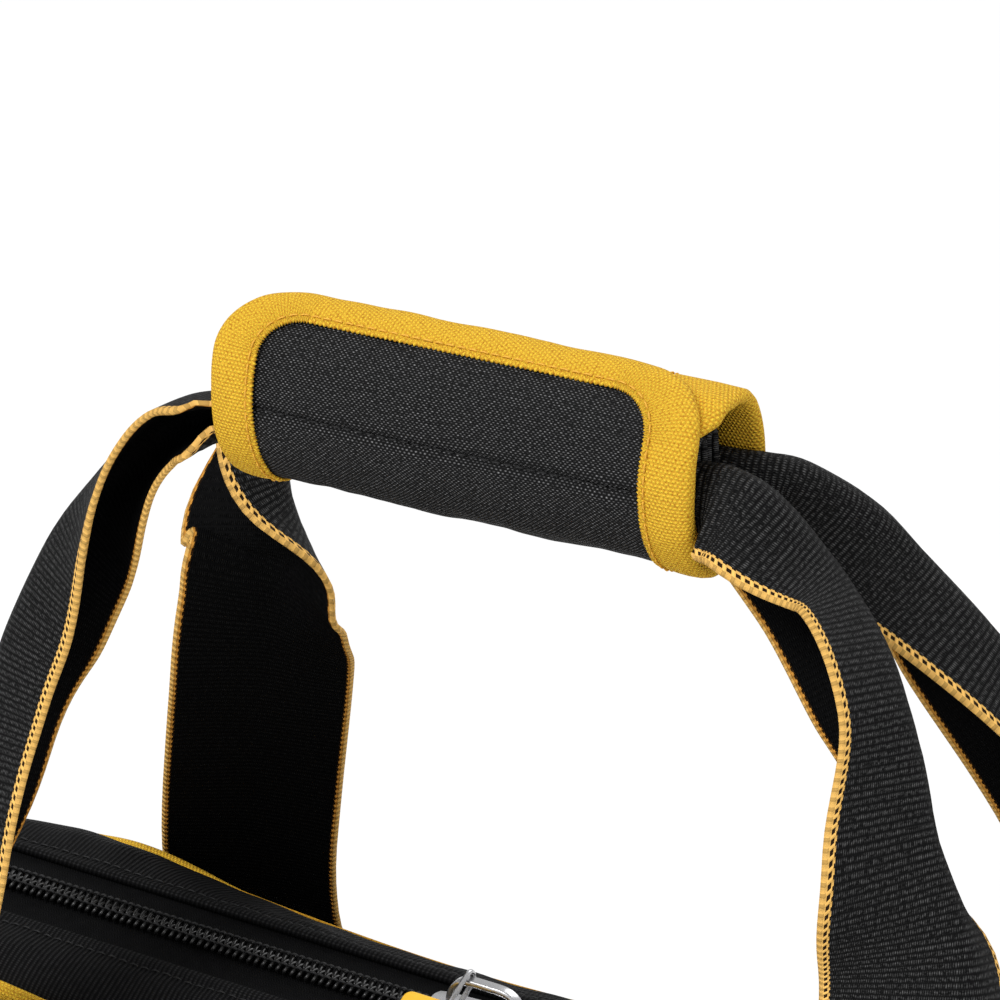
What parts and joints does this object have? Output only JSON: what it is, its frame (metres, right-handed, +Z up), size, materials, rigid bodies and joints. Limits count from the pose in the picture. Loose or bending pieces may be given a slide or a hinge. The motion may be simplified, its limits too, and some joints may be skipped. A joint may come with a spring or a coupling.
{
  "type": "zippered tool bag",
  "caption": "House-shaped fabric tool bag with a coil zipper along its top, sewn outside pockets, and webbing straps that a padded hand wrap holds together.",
  "frame": {"origin": "middle of the bag's footprint, on the floor under the feet", "axes": "+X along the zipper, towards the right end; -Y is the front, where the hand wrap's flap opens; +Z up"},
  "size_m": [0.4306, 0.2486, 0.4486],
  "materials": {
    "canvas": "woven, matte",
    "webbing": "ribbed webbing",
    "binding": "grosgrain tape",
    "zipper_tape": "fine woven tape",
    "coil": "moulded coil",
    "slider_metal": "cast, plated",
    "pull": "smooth tab",
    "hook_and_loop": "hook and loop",
    "foot_rubber": "moulded",
    "board": "stiff board"
  },
  "bodies": {
    "bag": {"base_panel": "canvas", "base_board": "board", "foot_front_left": "foot_rubber", "foot_rear_left": "foot_rubber", "foot_front_right": "foot_rubber", "foot_rear_right": "foot_rubber", "front_wall": "canvas", "front_slope": "canvas", "top_band_front": "canvas", "rear_wall": "canvas", "rear_slope": "canvas", "top_band_rear": "canvas", "left_end": "canvas", "right_end": "canvas", "end_binding_left": "binding", "end_binding_right": "binding", "top_binding_front": "binding", "top_binding_rear": "binding", "zipper_tape_front": "zipper_tape", "zipper_tape_rear": "zipper_tape", "zipper_coil_front": "coil", "zipper_coil_rear": "coil", "zipper_end_tab_left": "canvas", "zipper_end_tab_right": "canvas", "front_pocket_centre": "canvas", "front_pocket_left": "canvas", "front_pocket_right": "canvas", "rear_pocket_centre": "canvas", "rear_pocket_left": "canvas", "rear_pocket_right": "canvas", "end_pocket_left": "canvas", "end_pocket_right": "canvas", "strap_base_front_left": "webbing", "strap_base_rear_left": "webbing", "strap_base_front_right": "webbing", "strap_base_rear_right": "webbing"},
    "handle": {"wrap_sleeve": "canvas", "sleeve_binding_left": "binding", "sleeve_binding_right": "binding", "loop_strip": "hook_and_loop", "strap_grip_front": "webbing", "strap_grip_rear": "webbing", "strap_leg_front_left": "webbing", "strap_leg_front_right": "webbing", "strap_leg_rear_left": "webbing", "strap_leg_rear_right": "webbing"},
    "wrap_front_flap": {"wrap_flap": "canvas", "flap_binding": "binding", "hook_strip": "hook_and_loop"},
    "left_slider": {"slider_left": "slider_metal"},
    "right_slider": {"slider_right": "slider_metal"},
    "left_pull": {"pull_link_left": "slider_metal", "pull_tab_left": "pull"},
    "right_pull": {"pull_link_right": "slider_metal", "pull_tab_right": "pull"}
  },
  "joints": [
    {"name": "left_slider_travel", "type": "slide", "parent": "bag", "child": "left_slider", "axis": [-1, 0, 0], "range_m": [0, 0.149]},
    {"name": "right_slider_travel", "type": "slide", "parent": "bag", "child": "right_slider", "axis": [1, 0, 0], "range_m": [0, 0.149]},
    {"name": "left_pull_turn", "type": "hinge", "parent": "left_slider", "child": "left_pull", "pos_m": [-0.0222, 0, 0.2602], "axis": [-1, 0, 0], "range_deg": [0, 228]},
    {"name": "right_pull_turn", "type": "hinge", "parent": "right_slider", "child": "right_pull", "pos_m": [0.0222, 0, 0.2602], "axis": [-1, 0, 0], "range_deg": [0, 228]},
    {"name": "handle_swing", "type": "hinge", "parent": "bag", "child": "handle", "pos_m": [0, 0, 0.15], "axis": [1, 0, 0], "range_deg": [-7, 7], "deforming": ["strap_leg_front_left", "strap_leg_front_right", "strap_leg_rear_left", "strap_leg_rear_right"]},
    {"name": "wrap_flap_open", "type": "hinge", "parent": "handle", "child": "wrap_front_flap", "pos_m": [-0.0077, -0.0206, 0.3989], "axis": [0.9994, 0, 0.0349], "range_deg": [0, 110]}
  ]
}
